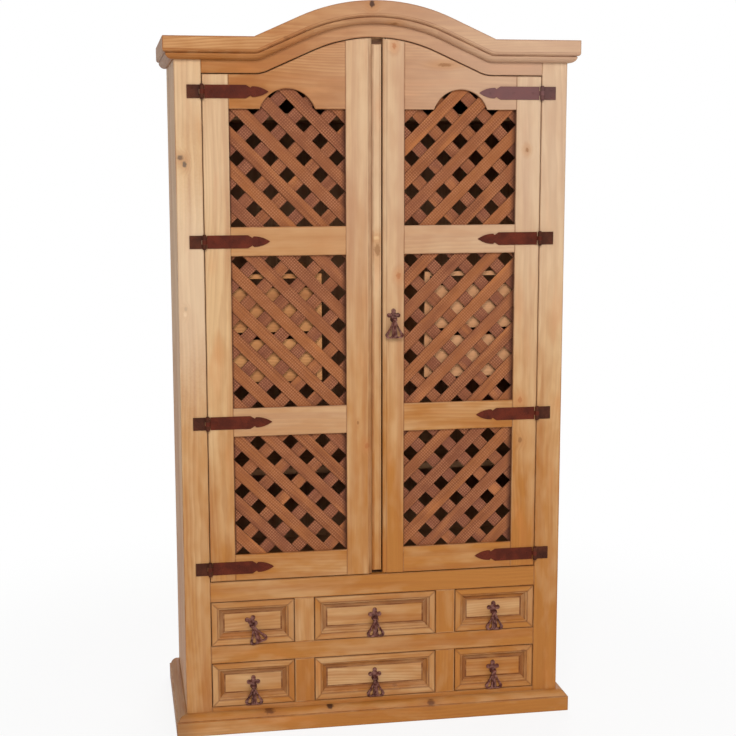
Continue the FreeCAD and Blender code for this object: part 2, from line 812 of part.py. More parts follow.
def write_drawers():
    for row, z in drawer_rows.items():
        top_z = z + drawer_opening_height
        for column, (left, right) in drawer_columns.items():
            name = row + "_" + column
            front = drawer_front(left + drawer_gap, right - drawer_gap, z + drawer_gap, top_z - drawer_gap)
            write(name + "_drawer_front", front)
            box_left = left + drawer_side_gap
            box_right = right - drawer_side_gap
            write(
                name + "_drawer_box",
                drawer_box(box_left, box_right, z + drawer_ride_gap, top_z - drawer_head_room),
            )
            loose = name == "upper_left"
            tilt = loose_pull_tilt if loose else 0
            lobe_turn = loose_plate_turn if loose else 0
            pull_z = (z + top_z) / 2 - drawer_pull_drop
            place = ((left + right) / 2, drawer_panel_set, pull_z, tilt)
            write(name + "_pull_plate", [placed_pull(pull_plate(lobe_turn), *place)])
            write(name + "_pull_bail", [placed_pull(pull_bail(), *place)])


os.makedirs("parts", exist_ok=True)
write_case()
write_fittings()
write_doors()
write_drawers()
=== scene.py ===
import bmesh
import bpy
import json
from math import cos, radians, sin
from random import Random
from mathutils import Matrix, Vector

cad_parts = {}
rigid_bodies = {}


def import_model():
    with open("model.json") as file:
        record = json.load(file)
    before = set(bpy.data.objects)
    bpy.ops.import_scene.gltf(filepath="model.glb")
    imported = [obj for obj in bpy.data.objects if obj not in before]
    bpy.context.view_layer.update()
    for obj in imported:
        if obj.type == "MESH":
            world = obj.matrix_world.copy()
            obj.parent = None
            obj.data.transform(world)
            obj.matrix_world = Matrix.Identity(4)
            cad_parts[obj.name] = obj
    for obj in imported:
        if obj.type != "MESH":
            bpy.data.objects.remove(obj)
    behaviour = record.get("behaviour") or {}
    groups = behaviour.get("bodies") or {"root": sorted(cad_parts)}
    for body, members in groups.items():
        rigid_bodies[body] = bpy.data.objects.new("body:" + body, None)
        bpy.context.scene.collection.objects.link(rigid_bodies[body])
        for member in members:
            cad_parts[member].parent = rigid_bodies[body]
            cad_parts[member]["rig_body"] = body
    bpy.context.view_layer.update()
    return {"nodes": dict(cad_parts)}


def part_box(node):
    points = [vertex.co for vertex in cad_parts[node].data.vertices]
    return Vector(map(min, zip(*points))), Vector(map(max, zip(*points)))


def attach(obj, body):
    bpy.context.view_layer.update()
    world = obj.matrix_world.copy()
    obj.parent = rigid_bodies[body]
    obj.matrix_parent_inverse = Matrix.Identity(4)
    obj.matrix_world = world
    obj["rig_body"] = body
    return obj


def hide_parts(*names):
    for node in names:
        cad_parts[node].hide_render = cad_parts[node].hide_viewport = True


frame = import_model()
scene = bpy.context.scene
scene.view_settings.view_transform = "Standard"
print("frame loaded:", len(frame["nodes"]), "nodes")


# colours are picked as 0 to 255 values and turned into the linear ones that nodes use
def paint(red, green, blue):
    def linear(level):
        share = level / 255
        return share / 12.92 if share <= 0.04045 else ((share + 0.055) / 1.055) ** 2.4
    return (linear(red), linear(green), linear(blue), 1.0)


# small helpers that place nodes and wire them up
def put(tree, kind, feeds=(), **settings):
    node = tree.nodes.new(kind)
    for name, value in settings.items():
        setattr(node, name, value)
    for key, value in dict(feeds).items():
        if isinstance(value, bpy.types.NodeSocket):
            tree.links.new(value, node.inputs[key])
        else:
            node.inputs[key].default_value = value
    return node


def effect(tree, group, feeds):
    return put(tree, "ShaderNodeGroup", feeds, node_tree=group).outputs


def calc(tree, operation, *values):
    return put(tree, "ShaderNodeMath", enumerate(values), operation=operation).outputs[0]


def vectorCalc(tree, operation, *vectors):
    return put(tree, "ShaderNodeVectorMath", enumerate(vectors), operation=operation).outputs


def split(tree, vector):
    return put(tree, "ShaderNodeSeparateXYZ", {0: vector}).outputs


def join(tree, *parts):
    return put(tree, "ShaderNodeCombineXYZ", enumerate(parts)).outputs[0]


def fade(tree, value, low, high, start=0.0, end=1.0):  # smooth step from start to end
    feeds = {"Value": value, "From Min": low, "From Max": high, "To Min": start, "To Max": end}
    return put(tree, "ShaderNodeMapRange", feeds, interpolation_type="SMOOTHSTEP").outputs[0]


def blend(tree, share, first, second, how="MIX"):
    feeds = {0: share, 6: first, 7: second}
    return put(tree, "ShaderNodeMix", feeds, data_type="RGBA", blend_type=how).outputs[2]


def tint(tree, mask, share, color, other):  # lays another colour over, by a share of a mask
    return blend(tree, calc(tree, "MULTIPLY", mask, share), color, other)


def speckle(tree, place, scale=1.0, detail=2.0, rough=0.5):
    feeds = {"Vector": place, "Scale": scale, "Detail": detail, "Roughness": rough}
    return put(tree, "ShaderNodeTexNoise", feeds).outputs[0]


def grained(tree, place, along, across, detail=2.0, rough=0.5):  # noise drawn out along the board
    stretched = vectorCalc(tree, "MULTIPLY", place, (along, across, across))[0]
    return speckle(tree, stretched, 1.0, detail, rough)


def swayed(tree, noise, width):  # noise as a shift to either side
    return calc(tree, "MULTIPLY_ADD", noise, width, -width / 2)


def newGroup(name, takes, gives):
    tree = bpy.data.node_groups.new(name, "ShaderNodeTree")
    for label, kind in takes.items():
        tree.interface.new_socket(label, in_out="INPUT", socket_type="NodeSocket" + kind)
    for label, kind in gives.items():
        tree.interface.new_socket(label, in_out="OUTPUT", socket_type="NodeSocket" + kind)
    entry = tree.nodes.new("NodeGroupInput").outputs
    leave = tree.nodes.new("NodeGroupOutput").inputs
    return tree, entry, leave


def newMaterial(name):
    material = bpy.data.materials.new(name)
    material.use_nodes = True
    tree = material.node_tree
    return material, tree, tree.nodes["Principled BSDF"]


# sawn pine: how its noises are drawn out along and across the board, with their detail and roughness
grainNoises = {
    "drift": (1.2, 3.0, 1.0), "ripple": (7.0, 30.0), "patch": (2.2, 11.0), "fibre": (9.0, 420.0, 3.0, 0.6),
    "streak": (1.7, 34.0, 3.0), "cloud": (1.6, 7.0), "blotch": (11.0, 30.0), "flush": (4.0, 15.0, 2.0, 0.6),
}
# one cell in three holds a small knot, an ellipse along the grain
smallKnots = {
    "along": 0.36, "across": 0.085, "squash": 0.8, "wobbleScale": 140.0, "wobble": 0.004, "least": 0.0035,
    "growth": 0.008, "rarity": 0.66, "core": (0.55, 1.15), "coreColor": paint(104, 58, 30), "coreShare": 0.85,
    "halo": (0.6, 3.4), "haloShare": 0.45,
}
# growth rings round a pith that wanders behind the board
rings = {
    "width": 0.0075, "drift": 0.10, "pith": 0.04, "ripple": 0.007, "push": 0.009, "rise": (0.1, 0.82),
    "drop": (0.84, 1.0), "patchy": (0.3, 0.7, 0.25, 1.0),
}
tones = {
    "cloud": (0.3, 0.7, -0.28, 0.28), "blotch": (0.3, 0.7, -0.16, 0.16), "streak": (0.46, 0.72),
    "streakShare": 0.5, "flush": (0.55, 0.78), "flushColor": paint(206, 128, 66),
    "fibre": (0.25, 0.75, 0.95, 1.03), "gloss": (0.2, 0.8, 0.08, -0.05), "fibreRise": 0.5, "lateRise": 0.5,
    "knotRise": 0.3,
}


# Place is along, across and through the board
def makePineGrain():
    takes = {"Place": "Vector", "Warmth": "Float", "Bend": "Float", "Pale": "Color", "Deep": "Color",
             "Late": "Color", "Streak": "Color", "Figure": "Float", "Flush": "Float", "Knots": "Float",
             "Cloud": "Float"}
    gives = {"Color": "Color", "Height": "Float", "Gloss": "Float"}
    tree, entry, leave = newGroup("pineGrain", takes, gives)
    place = entry["Place"]
    axis = split(tree, place)
    noise = {name: grained(tree, place, *facts) for name, facts in grainNoises.items()}

    along = calc(tree, "DIVIDE", axis[0], smallKnots["along"])
    across = calc(tree, "DIVIDE", axis[1], smallKnots["across"])
    feeds = {"Vector": join(tree, along, across), "Scale": 1.0}
    cells = put(tree, "ShaderNodeTexVoronoi", feeds, voronoi_dimensions="2D").outputs
    middle = split(tree, cells["Position"])
    chance = put(tree, "ShaderNodeSeparateColor", {0: cells["Color"]}).outputs
    reachAlong = smallKnots["along"] * smallKnots["squash"]
    gapAlong = calc(tree, "MULTIPLY", calc(tree, "SUBTRACT", along, middle[0]), reachAlong)
    gapAcross = calc(tree, "MULTIPLY", calc(tree, "SUBTRACT", across, middle[1]), smallKnots["across"])
    reach = vectorCalc(tree, "LENGTH", join(tree, gapAlong, gapAcross))["Value"]
    wobble = swayed(tree, speckle(tree, place, smallKnots["wobbleScale"]), smallKnots["wobble"])
    size = calc(tree, "MULTIPLY_ADD", chance[1], smallKnots["growth"], smallKnots["least"])
    ratio = calc(tree, "DIVIDE", calc(tree, "ADD", reach, wobble), size)
    present = calc(tree, "GREATER_THAN", chance[0], smallKnots["rarity"])
    present = calc(tree, "MULTIPLY", present, entry["Knots"])
    knot = calc(tree, "MULTIPLY", fade(tree, ratio, *smallKnots["core"], 1.0, 0.0), present)
    halo = calc(tree, "MULTIPLY", fade(tree, ratio, *smallKnots["halo"], 1.0, 0.0), present)

    # the rings, pushed aside by knots
    pithAcross = calc(tree, "ADD", axis[1], swayed(tree, noise["drift"], rings["drift"]))
    pithThrough = calc(tree, "ADD", axis[2], rings["pith"])
    radius = vectorCalc(tree, "LENGTH", join(tree, pithAcross, pithThrough))["Value"]
    radius = calc(tree, "MULTIPLY_ADD", noise["ripple"], rings["ripple"], radius)
    radius = calc(tree, "MULTIPLY_ADD", halo, rings["push"], radius)
    radius = calc(tree, "ADD", radius, entry["Bend"])
    turn = calc(tree, "FRACT", calc(tree, "DIVIDE", radius, rings["width"]))
    late = fade(tree, turn, *rings["rise"])
    late = calc(tree, "MULTIPLY", late, fade(tree, turn, *rings["drop"], 1.0, 0.0))
    late = calc(tree, "MULTIPLY", late, fade(tree, noise["patch"], *rings["patchy"]))

    # slow changes of tone, then rings, streaks of heartwood, fibre and knots over them
    cloud = fade(tree, noise["cloud"], *tones["cloud"])
    blotch = fade(tree, noise["blotch"], *tones["blotch"])
    tone = calc(tree, "MULTIPLY_ADD", calc(tree, "ADD", cloud, blotch), entry["Cloud"], entry["Warmth"])
    tone = put(tree, "ShaderNodeClamp", {0: tone}).outputs[0]
    color = blend(tree, tone, entry["Pale"], entry["Deep"])
    color = tint(tree, late, entry["Figure"], color, entry["Late"])
    streak = fade(tree, noise["streak"], *tones["streak"])
    color = tint(tree, streak, tones["streakShare"], color, entry["Streak"])
    flush = fade(tree, noise["flush"], *tones["flush"])
    color = tint(tree, flush, entry["Flush"], color, tones["flushColor"])
    shade = fade(tree, noise["fibre"], *tones["fibre"])
    color = blend(tree, 1.0, color, join(tree, shade, shade, shade), "MULTIPLY")
    color = tint(tree, halo, smallKnots["haloShare"], color, entry["Streak"])
    color = tint(tree, knot, smallKnots["coreShare"], color, smallKnots["coreColor"])

    raised = calc(tree, "MULTIPLY", late, tones["lateRise"])
    raised = calc(tree, "MULTIPLY_ADD", noise["fibre"], tones["fibreRise"], raised)
    tree.links.new(color, leave["Color"])
    tree.links.new(calc(tree, "MULTIPLY_ADD", knot, tones["knotRise"], raised), leave["Height"])
    tree.links.new(fade(tree, noise["fibre"], *tones["gloss"]), leave["Gloss"])
    return tree


# one knot or stain, or a patch of painted sheen or painted shade, at a chosen place on a face, with the wood
# that swells round it
spotShape = {"unevenScale": 160.0, "uneven": 0.9, "core": (0.45, 1.1), "halo": (0.7, 3.6), "bend": 0.012}


def makeKnotSpot():
    takes = {"Place": "Vector", "Centre": "Vector", "Squeeze": "Vector", "Size": "Float"}
    gives = {"Core": "Float", "Halo": "Float", "Bend": "Float"}
    tree, entry, leave = newGroup("knotSpot", takes, gives)
    away = vectorCalc(tree, "SUBTRACT", entry["Place"], entry["Centre"])[0]
    away = vectorCalc(tree, "MULTIPLY", away, entry["Squeeze"])[0]
    ratio = calc(tree, "DIVIDE", vectorCalc(tree, "LENGTH", away)["Value"], entry["Size"])
    uneven = swayed(tree, speckle(tree, entry["Place"], spotShape["unevenScale"]), spotShape["uneven"])
    ratio = calc(tree, "ADD", ratio, uneven)
    halo = fade(tree, ratio, *spotShape["halo"], 1.0, 0.0)
    tree.links.new(fade(tree, ratio, *spotShape["core"], 1.0, 0.0), leave["Core"])
    tree.links.new(halo, leave["Halo"])
    tree.links.new(calc(tree, "MULTIPLY", halo, spotShape["bend"]), leave["Bend"])
    return tree


# rubbed edges: strongest on the eased corners, broken up by noise; the same mask paints a highlight on the
# proud faces of the pulls
rubbing = {"detail": 3.0, "broken": (0.35, 0.7)}


def makeRubAndHighlight():
    takes = {"Place": "Vector", "Edge": "Float", "Amount": "Float", "Scale": "Float"}
    tree, entry, leave = newGroup("rubAndHighlight", takes, {"Rub": "Float"})
    noise = speckle(tree, entry["Place"], entry["Scale"], rubbing["detail"])
    rub = calc(tree, "MULTIPLY", entry["Edge"], fade(tree, noise, *rubbing["broken"]))
    tree.links.new(calc(tree, "MULTIPLY", rub, entry["Amount"]), leave["Rub"])
    return tree


# brown rust with darker pits and a thin grey bloom
rust = {
    "broad": (26.0, 3.0), "fine": (240.0, 4.0, 0.6), "pits": (420.0, 2.0), "patches": (0.35, 0.68),
    "bloom": (0.5, 0.75), "bloomShare": 0.35, "pitted": (0.56, 0.72), "pitColor": paint(38, 20, 16),
    "pitShare": 0.6, "rough": (0.3, 0.7, 0.5, 0.72), "fineRise": 0.5, "pitDepth": -0.6,
}


def makeRust():
    takes = {"Place": "Vector", "Dark": "Color", "Rust": "Color", "Bloom": "Color"}
    gives = {"Color": "Color", "Rough": "Float", "Height": "Float"}
    tree, entry, leave = newGroup("rustCrust", takes, gives)
    broad = speckle(tree, entry["Place"], *rust["broad"])
    fine = speckle(tree, entry["Place"], *rust["fine"])
    pits = fade(tree, speckle(tree, entry["Place"], *rust["pits"]), *rust["pitted"])
    color = blend(tree, fade(tree, broad, *rust["patches"]), entry["Dark"], entry["Rust"])
    color = tint(tree, fade(tree, fine, *rust["bloom"]), rust["bloomShare"], color, entry["Bloom"])
    color = tint(tree, pits, rust["pitShare"], color, rust["pitColor"])
    height = calc(tree, "MULTIPLY_ADD", fine, rust["fineRise"], broad)
    tree.links.new(color, leave["Color"])
    tree.links.new(fade(tree, fine, *rust["rough"]), leave["Rough"])
    tree.links.new(calc(tree, "MULTIPLY_ADD", pits, rust["pitDepth"], height), leave["Height"])
    return tree


# rows of small dots that a coarse saw leaves across a lath
saw = {
    "pitchAlong": 0.0068, "pitchAcross": 0.0062, "wholeTurn": 6.2832, "wobbleScale": 60.0, "wobble": 0.002,
    "wear": (22.0, 3.0), "worn": (0.35, 0.65, 0.25, 1.0),
}


def makeSawDots():
    tree, entry, leave = newGroup("sawDots", {"Place": "Vector"}, {"Dots": "Float"})
    axis = split(tree, entry["Place"])
    dots = fade(tree, speckle(tree, entry["Place"], *saw["wear"]), *saw["worn"])
    for place, pitch in ((axis[0], saw["pitchAlong"]), (axis[1], saw["pitchAcross"])):
        noise = speckle(tree, entry["Place"], saw["wobbleScale"])
        wobble = calc(tree, "MULTIPLY_ADD", noise, saw["wobble"], place)
        wave = calc(tree, "SINE", calc(tree, "MULTIPLY", wobble, saw["wholeTurn"] / pitch))
        dots = calc(tree, "MULTIPLY", calc(tree, "MULTIPLY_ADD", wave, 0.5, 0.5), dots)
    tree.links.new(dots, leave["Dots"])
    return tree


pineGrain = makePineGrain()
sawDots = makeSawDots()
knotSpot = makeKnotSpot()
rubAndHighlight = makeRubAndHighlight()
rustCrust = makeRust()
print("shared effects ready:", len(bpy.data.node_groups), "node groups")

bare = {"rubAmount": 0.2, "knots": 1.0, "coat": 0.0, "sheen": 0.3, "fall": 0.0, "cloud": 1.0}
finishes = {
    "pine": {  # waxed honey pine of everything that shows
        "pale": paint(210, 171, 124), "deep": paint(176, 114, 50), "late": paint(152, 90, 38),
        "streak": paint(162, 96, 42), "paintedShade": paint(116, 56, 20), "rub": paint(216, 176, 130),
        # the colour and share of the painted sheen at the upper right
        "sheenPale": paint(214, 192, 172), "sheenShare": 0.42, "sheenFrom": -0.75, "rubAmount": 0.35, "figure": 0.3,
        "flush": 0.3, "knots": 0.0, "cloud": 1.0, "rough": 0.52, "coat": 0.04, "bump": 0.25, "sheen": 0.2,
        "fall": 0.85,
    },
    "innerPine": {  # boards inside and behind; their deep colour paints the shade inside the case
        **bare, "pale": paint(210, 168, 122), "deep": paint(126, 76, 42), "late": paint(122, 74, 42),
        "streak": paint(130, 76, 42), "paintedShade": paint(84, 48, 26), "rub": paint(196, 154, 112),
        "figure": 0.4, "flush": 0.15, "cloud": 0.4, "rough": 0.62, "bump": 0.35,
    },
    "rackPine": {  # pale planed boards of the bottle racks
        **bare, "pale": paint(212, 156, 110), "deep": paint(188, 128, 82), "late": paint(168, 108, 66),
        "streak": paint(210, 156, 110), "paintedShade": paint(160, 104, 66), "rub": paint(248, 220, 186),
        "figure": 0.3, "flush": 0.25, "rough": 0.6, "bump": 0.3,
    },
    "darkRack": {  # the same boards on the left, more golden
        **bare, "pale": paint(212, 150, 92), "deep": paint(176, 112, 60), "late": paint(152, 92, 48),
        "streak": paint(150, 88, 46), "paintedShade": paint(130, 80, 46), "rub": paint(216, 160, 104),
        "figure": 0.35, "flush": 0.3, "rough": 0.6, "bump": 0.3,
    },
    "lathWood": {  # reddish rough-sawn laths; the dark rub colour on their eased edges is grime and painted shade
        **bare, "pale": paint(150, 88, 46), "deep": paint(124, 70, 48), "late": paint(94, 46, 26),
        "streak": paint(104, 52, 30), "paintedShade": paint(58, 27, 15), "rub": paint(56, 26, 16), "rubAmount": 0.9,
        "figure": 0.35, "flush": 0.5, "knots": 0.0, "rough": 0.72, "bump": 0.7, "sheen": 0.25,
        "sawn": 0.75, "fuzz": paint(190, 128, 90), "border": 0.75,
    },
}
finishes["crownPine"] = {**finishes["pine"], "pale": paint(202, 152, 100), "deep": paint(164, 102, 44),
                         "sheenFrom": -0.45, "figure": 0.55}
finishes["sidePine"] = {**finishes["pine"], "figure": 0.6, "knots": 0.8, "sheenShare": 0.12, "bump": 0.35}
finishes["drawerPine"] = {**finishes["pine"], "fall": 0.62, "figure": 0.4, "paintedShade": paint(100, 44, 12)}

# the stile edges that look into the lattice windows, and how far shade reaches over the laths there
window = {"edges": ((-0.404, 0.008), (-0.0822, 0.017), (0.0822, 0.007), (0.404, 0.017)), "near": 0.002}

# kinds of knot and stain, and patches of painted sheen and painted shade: what the core and the wood round it
# turn to, and how far the rings bend
knotKinds = {
    "dark": {"halo": paint(168, 108, 56), "haloShare": 0.4, "core": paint(66, 36, 20), "coreShare": 0.95,
             "bend": 1.0},
    "brown": {"halo": paint(180, 122, 70), "haloShare": 0.4, "core": paint(138, 90, 50), "coreShare": 0.7,
              "bend": 0.6},
    "red": {"halo": paint(188, 122, 70), "haloShare": 0.4, "core": paint(166, 92, 46), "coreShare": 0.55,
            "bend": 0.7},
    "pale": {"halo": paint(196, 140, 86), "haloShare": 0.35, "core": paint(228, 196, 150), "coreShare": 0.75,
             "bend": 0.6},
    "stain": {"halo": paint(140, 78, 42), "haloShare": 0.25, "core": paint(96, 52, 24), "coreShare": 0.85},
    "gold": {"halo": paint(178, 120, 66), "haloShare": 0.5},
    # painted sheen: a pale neutral patch
    "sheenVeil": {"halo": paint(226, 204, 176), "haloShare": 0.2},
    # painted shade: grey-brown on the left end faces
    "sideShade": {"halo": paint(110, 80, 60), "haloShare": 0.4},
    # painted sheen: a broad pale patch
    "sheenWash": {"halo": paint(228, 206, 178), "haloShare": 0.45},
}

# painted sheen: the wood is paler towards the top and deeper gold towards the foot, most on the right, and
# paler still at the upper right
paintedSheen = {"foot": (0.3, 1.35), "across": (-0.6, 0.6, 0.8, 1.2), "paleTo": 0.5, "paleHeight": (0.85, 1.65)}
# noise of the rubbed edges and of the painted shade's patches, the coat and the grain
woodWear = {"rubScale": 38.0, "paintedShade": (16.0, 48.0, 3.0), "patchy": (0.3, 0.62, 0.5, 1.0), "coatRough": 0.35,
            "grainDepth": 0.0006}


def boardValue(tree, name, output="Fac"):  # what a board carries on its mesh
    return put(tree, "ShaderNodeAttribute", attribute_name=name).outputs[output]


def woodMaterial(name, finish, knots=()):
    material, tree, shader = newMaterial(name)
    place = boardValue(tree, "boardPlace", "Vector")
    warmth = boardValue(tree, "boardWarmth")
    inObject = put(tree, "ShaderNodeTexCoord").outputs["Object"]
    where = split(tree, inObject)
    # painted sheen: the warmth deepens from the top down to the foot
    deeper = calc(tree, "MULTIPLY", fade(tree, where[2], *paintedSheen["foot"], finish["fall"], 0.0),
                  fade(tree, where[0], *paintedSheen["across"]))
    warmth = calc(tree, "MULTIPLY_ADD", calc(tree, "SUBTRACT", 1.0, warmth), deeper, warmth)
    spots = []
    bend = 0.0
    for kind, at, size, squeeze in knots:
        feeds = {"Place": inObject, "Centre": at, "Squeeze": squeeze, "Size": size}
        spot = effect(tree, knotSpot, feeds)
        spots.append((knotKinds[kind], spot))
        if "bend" in knotKinds[kind]:
            bend = calc(tree, "MULTIPLY_ADD", spot["Bend"], knotKinds[kind]["bend"], bend)
    feeds = {"Place": place, "Warmth": warmth, "Bend": bend}
    for key in ("pale", "deep", "late", "streak", "figure", "flush", "knots", "cloud"):
        feeds[key.capitalize()] = finish[key]
    grain = effect(tree, pineGrain, feeds)
    color = grain["Color"]
    raised = grain["Height"]
    # painted sheen: a pale neutral veil over the upper right
    if "sheenShare" in finish:
        sheenPale = fade(tree, where[0], finish["sheenFrom"], paintedSheen["paleTo"], 0.0, finish["sheenShare"])
        color = tint(tree, sheenPale, fade(tree, where[2], *paintedSheen["paleHeight"]), color, finish["sheenPale"])
    for kind, spot in spots:
        color = tint(tree, spot["Halo"], kind["haloShare"], color, kind["halo"])
        if "core" in kind:
            color = tint(tree, spot["Core"], kind["coreShare"], color, kind["core"])
    feeds = {"Place": place, "Edge": boardValue(tree, "rubHighlightMark"), "Amount": finish["rubAmount"],
             "Scale": woodWear["rubScale"]}
    color = blend(tree, effect(tree, rubAndHighlight, feeds)["Rub"], color, finish["rub"])
    if "sawn" in finish:
        dots = effect(tree, sawDots, {"Place": place})["Dots"]
        color = tint(tree, dots, finish["sawn"], color, finish["fuzz"])
        raised = calc(tree, "ADD", raised, dots)
    patchy = fade(tree, grained(tree, place, *woodWear["paintedShade"]), *woodWear["patchy"])
    # painted shade, made patchy by noise
    color = tint(tree, boardValue(tree, "creaseMark"), patchy, color, finish["paintedShade"])
    if "border" in finish:  # painted shade where laths meet the stiles
        for edge, reach in window["edges"]:
            gap = calc(tree, "ABSOLUTE", calc(tree, "SUBTRACT", where[0], edge))
            color = blend(tree, fade(tree, gap, 0.0, reach, finish["border"], 0.0), color, finish["paintedShade"])
    feeds = {"Strength": finish["bump"], "Distance": woodWear["grainDepth"], "Height": raised}
    tree.links.new(color, shader.inputs["Base Color"])
    tree.links.new(calc(tree, "ADD", grain["Gloss"], finish["rough"]), shader.inputs["Roughness"])
    tree.links.new(put(tree, "ShaderNodeBump", feeds).outputs[0], shader.inputs["Normal"])
    shader.inputs["Coat Weight"].default_value = finish["coat"]
    shader.inputs["Coat Roughness"].default_value = woodWear["coatRough"]
    shader.inputs["Specular IOR Level"].default_value = finish["sheen"]
    return material


irons = {
    "strapIron": {"dark": paint(76, 28, 15), "rust": paint(98, 38, 21), "bloom": paint(106, 52, 36),
                  "scuffAndHighlight": paint(140, 78, 60), "scuffAndHighlightAmount": 0.35, "scuffScale": 38.0, "sheenVeil": 0.55},
    "leafIron": {"dark": paint(60, 28, 16), "rust": paint(84, 42, 26), "bloom": paint(94, 56, 38),
                 "scuffAndHighlight": paint(110, 70, 50), "scuffAndHighlightAmount": 0.3, "scuffScale": 38.0, "sheenVeil": 0.35},
    # on the pulls the scuff colour is also a painted highlight on the proud faces
    "pullIron": {"dark": paint(54, 20, 15), "rust": paint(88, 42, 33), "bloom": paint(128, 86, 76),
                 "scuffAndHighlight": paint(184, 132, 118), "scuffAndHighlightAmount": 0.9, "scuffScale": 110.0, "sheenVeil": 0.0},
}
# painted sheen: a grey reflection painted on the upper right hinge
ironFace = {"sheenVeil": paint(132, 98, 98), "sheenVeilHeight": (1.55, 1.8), "sheenVeilAcross": (0.0, 0.3), "sheen": 0.12,
            "bump": 0.45, "crustDepth": 0.0007}


def ironMaterial(name, iron):
    material, tree, shader = newMaterial(name)
    place = put(tree, "ShaderNodeTexCoord").outputs["Object"]
    where = split(tree, place)
    feeds = {"Place": place, "Dark": iron["dark"], "Rust": iron["rust"], "Bloom": iron["bloom"]}
    crust = effect(tree, rustCrust, feeds)
    feeds = {"Place": place, "Edge": boardValue(tree, "rubHighlightMark"), "Amount": iron["scuffAndHighlightAmount"],
             "Scale": iron["scuffScale"]}
    color = blend(tree, effect(tree, rubAndHighlight, feeds)["Rub"], crust["Color"], iron["scuffAndHighlight"])
    # painted sheen over the upper right irons
    sheenVeil = fade(tree, where[0], *ironFace["sheenVeilAcross"], 0.0, iron["sheenVeil"])
    color = tint(tree, sheenVeil, fade(tree, where[2], *ironFace["sheenVeilHeight"]), color, ironFace["sheenVeil"])
    feeds = {"Strength": ironFace["bump"], "Distance": ironFace["crustDepth"], "Height": crust["Height"]}
    tree.links.new(color, shader.inputs["Base Color"])
    tree.links.new(crust["Rough"], shader.inputs["Roughness"])
    tree.links.new(put(tree, "ShaderNodeBump", feeds).outputs[0], shader.inputs["Normal"])
    shader.inputs["Specular IOR Level"].default_value = ironFace["sheen"]
    return material


# a node's triangles come solid by solid, so a solid ends where no edge is left open
def closedRuns(mesh):
    places = [tuple(vertex.co) for vertex in mesh.vertices]
    openEdges = set()
    run = []
    runs = []
    for face in mesh.polygons:
        corners = [places[i] for i in face.vertices]
        for side in zip(corners, corners[1:] + corners[:1]):
            if side[0] != side[1]:
                openEdges ^= {frozenset(side)}
        run.append(face.index)
        if not openEdges:
            runs.append(run)
            run = []
    return runs + [run] if run else runs


def extent(points, direction):
    along = [point.dot(direction) for point in points]
    return max(along) - min(along)


# the grain runs along the longest edge of a board, or where the piece says
def boardAxes(board, grain):
    if grain is None:
        longest = max(board.edges, key=lambda edge: edge.calc_length())
        grain = longest.verts[1].co - longest.verts[0].co
    grain = Vector(grain).normalized()
    side = Vector((0, 1, 0)) if abs(grain.y) < 0.5 else Vector((1, 0, 0))
    other = grain.cross(side).normalized()
    points = [vertex.co for vertex in board.verts]
    if extent(points, side) > extent(points, other):
        side, other = other, side
    return grain, other, side


# how boards are merged, eased and shaded, and how far apart they start in the noise
joinery = {
    "merge": 1e-5, "flat": radians(0.6), "sharp": radians(24), "easeSteps": 2, "crisp": radians(38),
    "spread": 0.07, "unglued": 10.0, "log": 40, "offPith": 0.06, "depth": 0.02,
}


# where a board's grain starts in the noise, and its tone
def freshWood(dice, look):
    along = dice.uniform(0, joinery["log"])
    across = dice.choice((-1, 1)) * dice.uniform(0.0, joinery["offPith"])
    through = dice.uniform(0, joinery["depth"])
    tone = look["warmth"] + dice.uniform(-1, 1) * look.get("spread", joinery["spread"])
    return Vector((along, across, through)), tone


# one solid of a node, merged, with its facets joined
def takeBoard(mesh, run):
    board = bmesh.new()
    board.from_mesh(mesh)
    kept = set(run)
    others = [face for face in board.faces if face.index not in kept]
    bmesh.ops.delete(board, geom=others, context="FACES")
    bmesh.ops.remove_doubles(board, verts=board.verts, dist=joinery["merge"])
    bmesh.ops.dissolve_limit(board, angle_limit=joinery["flat"], verts=board.verts, edges=board.edges)
    return board


# a wide panel is glued up from staves, so it is cut where two of them meet
def glueUp(board, centre, across, width):
    away = [(vertex.co - centre).dot(across) for vertex in board.verts]
    for step in range(int(min(away) // width) + 1, int(max(away) // width) + 1):
        parts = board.verts[:] + board.edges[:] + board.faces[:]
        bmesh.ops.bisect_plane(board, geom=parts, plane_co=centre + across * step * width, plane_no=across)


def easeEdges(board, width):
    sharp = [edge for edge in board.edges if edge.is_manifold and edge.calc_face_angle() > joinery["sharp"]]
    made = bmesh.ops.bevel(board, geom=sharp, offset=width, offset_type="OFFSET", affect="EDGES", profile=0.5,
                           segments=joinery["easeSteps"], clamp_overlap=True, material=-1)
    return made["faces"]


# how squarely a face looks along an axis: 1 is straight at it, 0 is edge on
facing = {"flat": 0.99, "mould": 0.97, "square": 0.9, "proud": 0.75, "half": 0.5, "front": 0.35, "side": 0.3,
          "slant": 0.25, "groove": 0.2}


def frontness(face):
    return -face.normal.y


